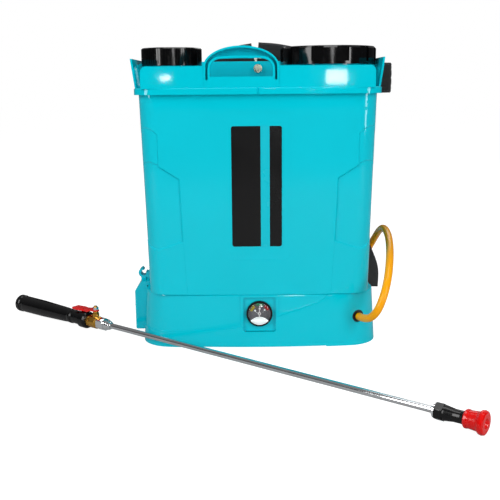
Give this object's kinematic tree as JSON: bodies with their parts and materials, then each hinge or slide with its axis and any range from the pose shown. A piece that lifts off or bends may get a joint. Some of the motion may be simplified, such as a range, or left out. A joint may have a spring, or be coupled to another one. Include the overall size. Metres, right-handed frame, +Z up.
{
  "type": "backpack sprayer",
  "caption": "Battery knapsack sprayer: moulded tank on a pump base, screw caps, gauge, shoulder straps, hose, and a valved lance with an adjustable nozzle.",
  "frame": {"origin": "centre of the underside of the base, on the surface it stands on", "axes": "+Z up, -Y is the front with the gauge and label, +X to the right seen from the front"},
  "size_m": [0.6433, 0.6586, 0.43],
  "materials": {
    "teal_plastic": "glossy injection-moulded polypropylene",
    "black_plastic": "glossy black plastic",
    "black_matte": "satin black plastic",
    "black_rubber": "moulded rubber",
    "label_film": "printed film",
    "dial_card": "printed card",
    "clear_lens": "clear",
    "red_plastic": "glossy red plastic",
    "brass": "turned brass",
    "plated_steel": "nickel plated",
    "stainless": "polished stainless tube",
    "zinc_steel": "zinc plated",
    "hose_pvc": "glossy amber PVC",
    "strap_fabric": "black padded fabric",
    "webbing": "woven polypropylene",
    "battery_case": "moulded battery case",
    "white_plastic": "white strainer plastic"
  },
  "bodies": {
    "sprayer": {"anchor_bolt": "zinc_steel", "anchor_nut": "zinc_steel", "anchor_plate": "zinc_steel", "base_feet": "black_rubber", "base_plate": "black_matte", "base_screws": "zinc_steel", "base_shell": "teal_plastic", "battery": "battery_case", "charge_socket": "black_matte", "flap_hinge": "plated_steel", "front_label": "label_film", "gauge_case": "black_plastic", "gauge_dial": "dial_card", "gauge_lens": "clear_lens", "hose": "hose_pvc", "hose_coil": "hose_pvc", "hose_grommet": "black_rubber", "hose_nut": "brass", "hose_tail": "hose_pvc", "lance_clip": "teal_plastic", "lower_anchors": "zinc_steel", "outlet_filter": "white_plastic", "pressure_pipe": "black_rubber", "pressure_switch": "black_matte", "pump_head": "black_matte", "pump_motor": "zinc_steel", "strainer_basket": "white_plastic", "strap_buckles": "black_matte", "strap_left": "strap_fabric", "strap_right": "strap_fabric", "suction_pipe": "black_rubber", "switch_frame": "black_matte", "switch_pod": "teal_plastic", "tank_body": "teal_plastic", "tank_top": "teal_plastic", "webbing_left": "webbing", "webbing_right": "webbing"},
    "fill_gasket_body": {"fill_gasket": "black_rubber"},
    "fill_cap_body": {"fill_cap": "black_plastic"},
    "small_gasket_body": {"small_gasket": "black_rubber"},
    "small_cap_body": {"small_cap": "black_plastic"},
    "needle": {"gauge_needle": "white_plastic"},
    "rocker": {"power_switch": "red_plastic"},
    "socket_flap": {"charge_flap": "black_rubber"},
    "rotor": {"pump_rotor": "zinc_steel"},
    "lance": {"lance_grip": "black_matte", "grip_inlet": "brass", "valve_body": "brass", "gland_nut": "plated_steel", "lance_tube": "stainless", "nozzle_ring": "plated_steel", "nozzle_body": "black_matte"},
    "valve": {"valve_ball": "plated_steel", "valve_stem": "brass", "valve_lever": "red_plastic", "lever_nut": "plated_steel"},
    "nozzle_seal_body": {"nozzle_seal": "black_rubber"},
    "nozzle_cap_body": {"nozzle_cap": "red_plastic"}
  },
  "joints": [
    {"name": "fill_cap_rise", "type": "slide", "parent": "sprayer", "child": "fill_gasket_body", "axis": [0, 0, 1], "range_m": [0, 0.0075]},
    {"name": "fill_cap_turn", "type": "hinge", "parent": "fill_gasket_body", "child": "fill_cap_body", "pos_m": [0.101, 0, 0.4], "axis": [0, 0, 1], "range_deg": [0, 540]},
    {"name": "small_cap_rise", "type": "slide", "parent": "sprayer", "child": "small_gasket_body", "axis": [0, 0, 1], "range_m": [0, 0.0075]},
    {"name": "small_cap_turn", "type": "hinge", "parent": "small_gasket_body", "child": "small_cap_body", "pos_m": [-0.122, 0, 0.4], "axis": [0, 0, 1], "range_deg": [0, 540]},
    {"name": "gauge_needle_turn", "type": "hinge", "parent": "sprayer", "child": "needle", "pos_m": [0, -0.089, 0.0495], "axis": [0, -1, 0], "range_deg": [-110, 0]},
    {"name": "power_switch_rock", "type": "hinge", "parent": "sprayer", "child": "rocker", "pos_m": [-0.1825, 0.028, 0.048], "axis": [0, 1, 0], "range_deg": [-14, 0]},
    {"name": "charge_flap_swing", "type": "hinge", "parent": "sprayer", "child": "socket_flap", "pos_m": [-0.1844, -0.002, 0.0425], "axis": [0, 1, 0], "range_deg": [0, 120]},
    {"name": "pump_rotor_spin", "type": "hinge", "parent": "sprayer", "child": "rotor", "pos_m": [0.05, 0.025, 0.037], "axis": [1, 0, 0], "continuous": true},
    {"name": "lance_lift", "type": "slide", "parent": "sprayer", "child": "lance", "axis": [-0.0984, -0.1236, 0.9874], "range_m": [0, 0.3]},
    {"name": "valve_lever_turn", "type": "hinge", "parent": "lance", "child": "valve", "pos_m": [-0.24765, -0.00341, 0.0137], "axis": [0, 0, 1], "range_deg": [-90, 0]},
    {"name": "nozzle_cap_travel", "type": "slide", "parent": "lance", "child": "nozzle_seal_body", "axis": [0.7826, -0.6225, 0], "range_m": [0, 0.0045]},
    {"name": "nozzle_cap_turn", "type": "hinge", "parent": "nozzle_seal_body", "child": "nozzle_cap_body", "pos_m": [0.22426, -0.37879, 0.0137], "axis": [0.7826, -0.6225, 0], "range_deg": [0, 540]}
  ],
  "couplings": [
    {"joint": "fill_cap_rise", "follows": "fill_cap_turn", "m_per_rad": 0.00079577},
    {"joint": "small_cap_rise", "follows": "small_cap_turn", "m_per_rad": 0.00079577},
    {"joint": "nozzle_cap_travel", "follows": "nozzle_cap_turn", "m_per_rad": 0.00047746}
  ]
}
